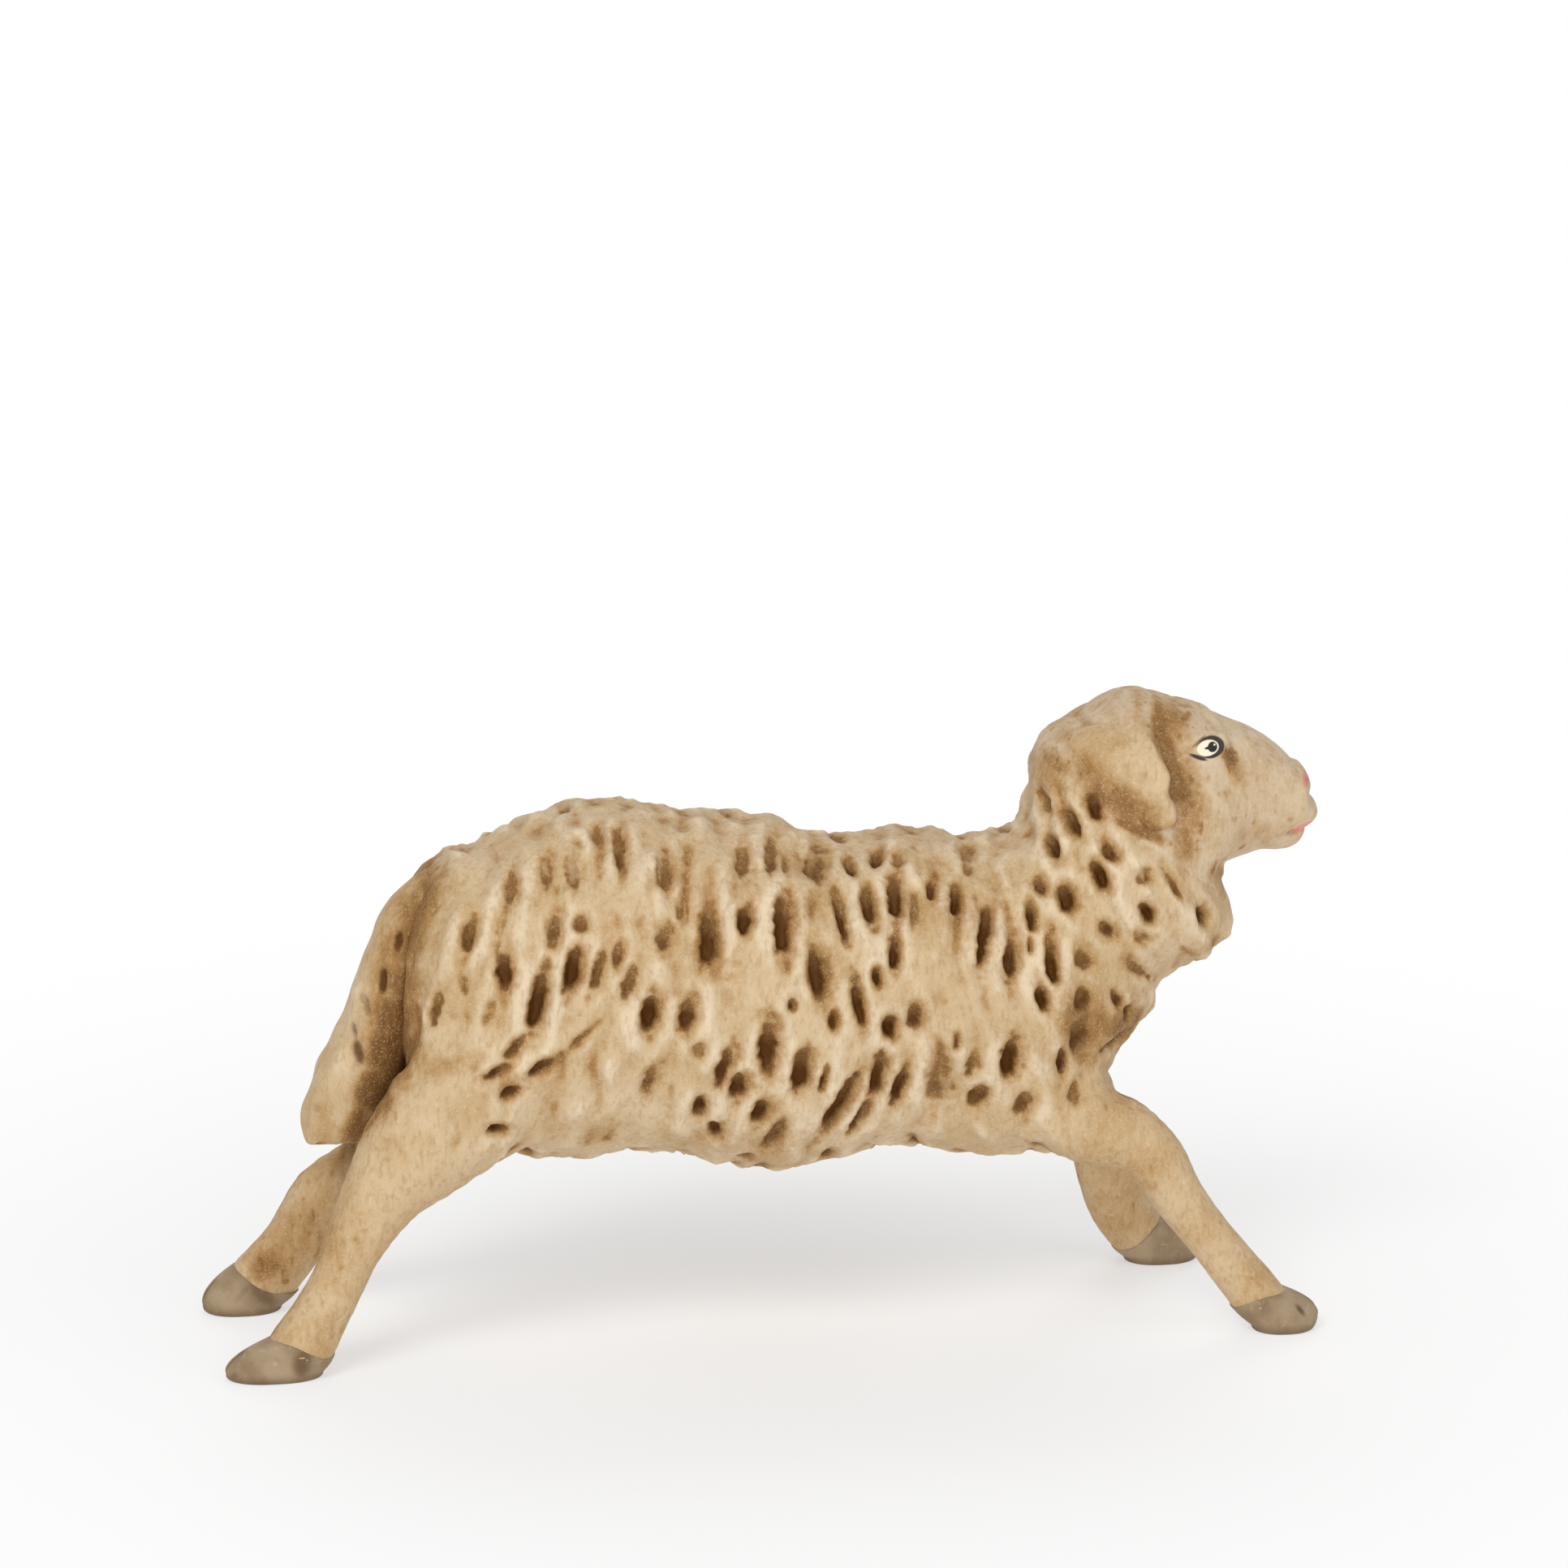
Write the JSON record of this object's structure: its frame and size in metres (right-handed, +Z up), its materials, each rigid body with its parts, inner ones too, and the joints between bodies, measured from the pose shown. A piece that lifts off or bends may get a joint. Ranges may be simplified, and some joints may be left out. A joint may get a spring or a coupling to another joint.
{
  "type": "sheep figurine",
  "caption": "Free-standing painted figurine of a running sheep with a pitted fleece, smooth face and legs, drooping ears, long tail and cloven hooves.",
  "frame": {"origin": "centre of the bounding box's base, on the floor between the four hooves", "axes": "+X forward towards the nose, +Y towards the animal's left side, +Z up"},
  "size_m": [0.1122, 0.0272, 0.0645],
  "materials": {
    "fleece": "matte",
    "smooth_skin": "matte",
    "hoof": "matte",
    "leg_wire": "satin",
    "peg_wood": "matte"
  },
  "bodies": {
    "root": {"torso_right_shell": "fleece", "torso_left_shell": "fleece", "head": "smooth_skin", "ear_right": "smooth_skin", "ear_left": "smooth_skin", "tail": "fleece", "fore_leg_right": "smooth_skin", "fore_leg_left": "smooth_skin", "hind_leg_right": "smooth_skin", "hind_leg_left": "smooth_skin", "fore_hoof_right": "hoof", "fore_hoof_left": "hoof", "hind_hoof_right": "hoof", "hind_hoof_left": "hoof", "fore_wire_right": "leg_wire", "fore_wire_left": "leg_wire", "hind_wire_right": "leg_wire", "hind_wire_left": "leg_wire", "neck_dowel": "peg_wood", "tail_pin": "peg_wood"}
  },
  "joints": []
}
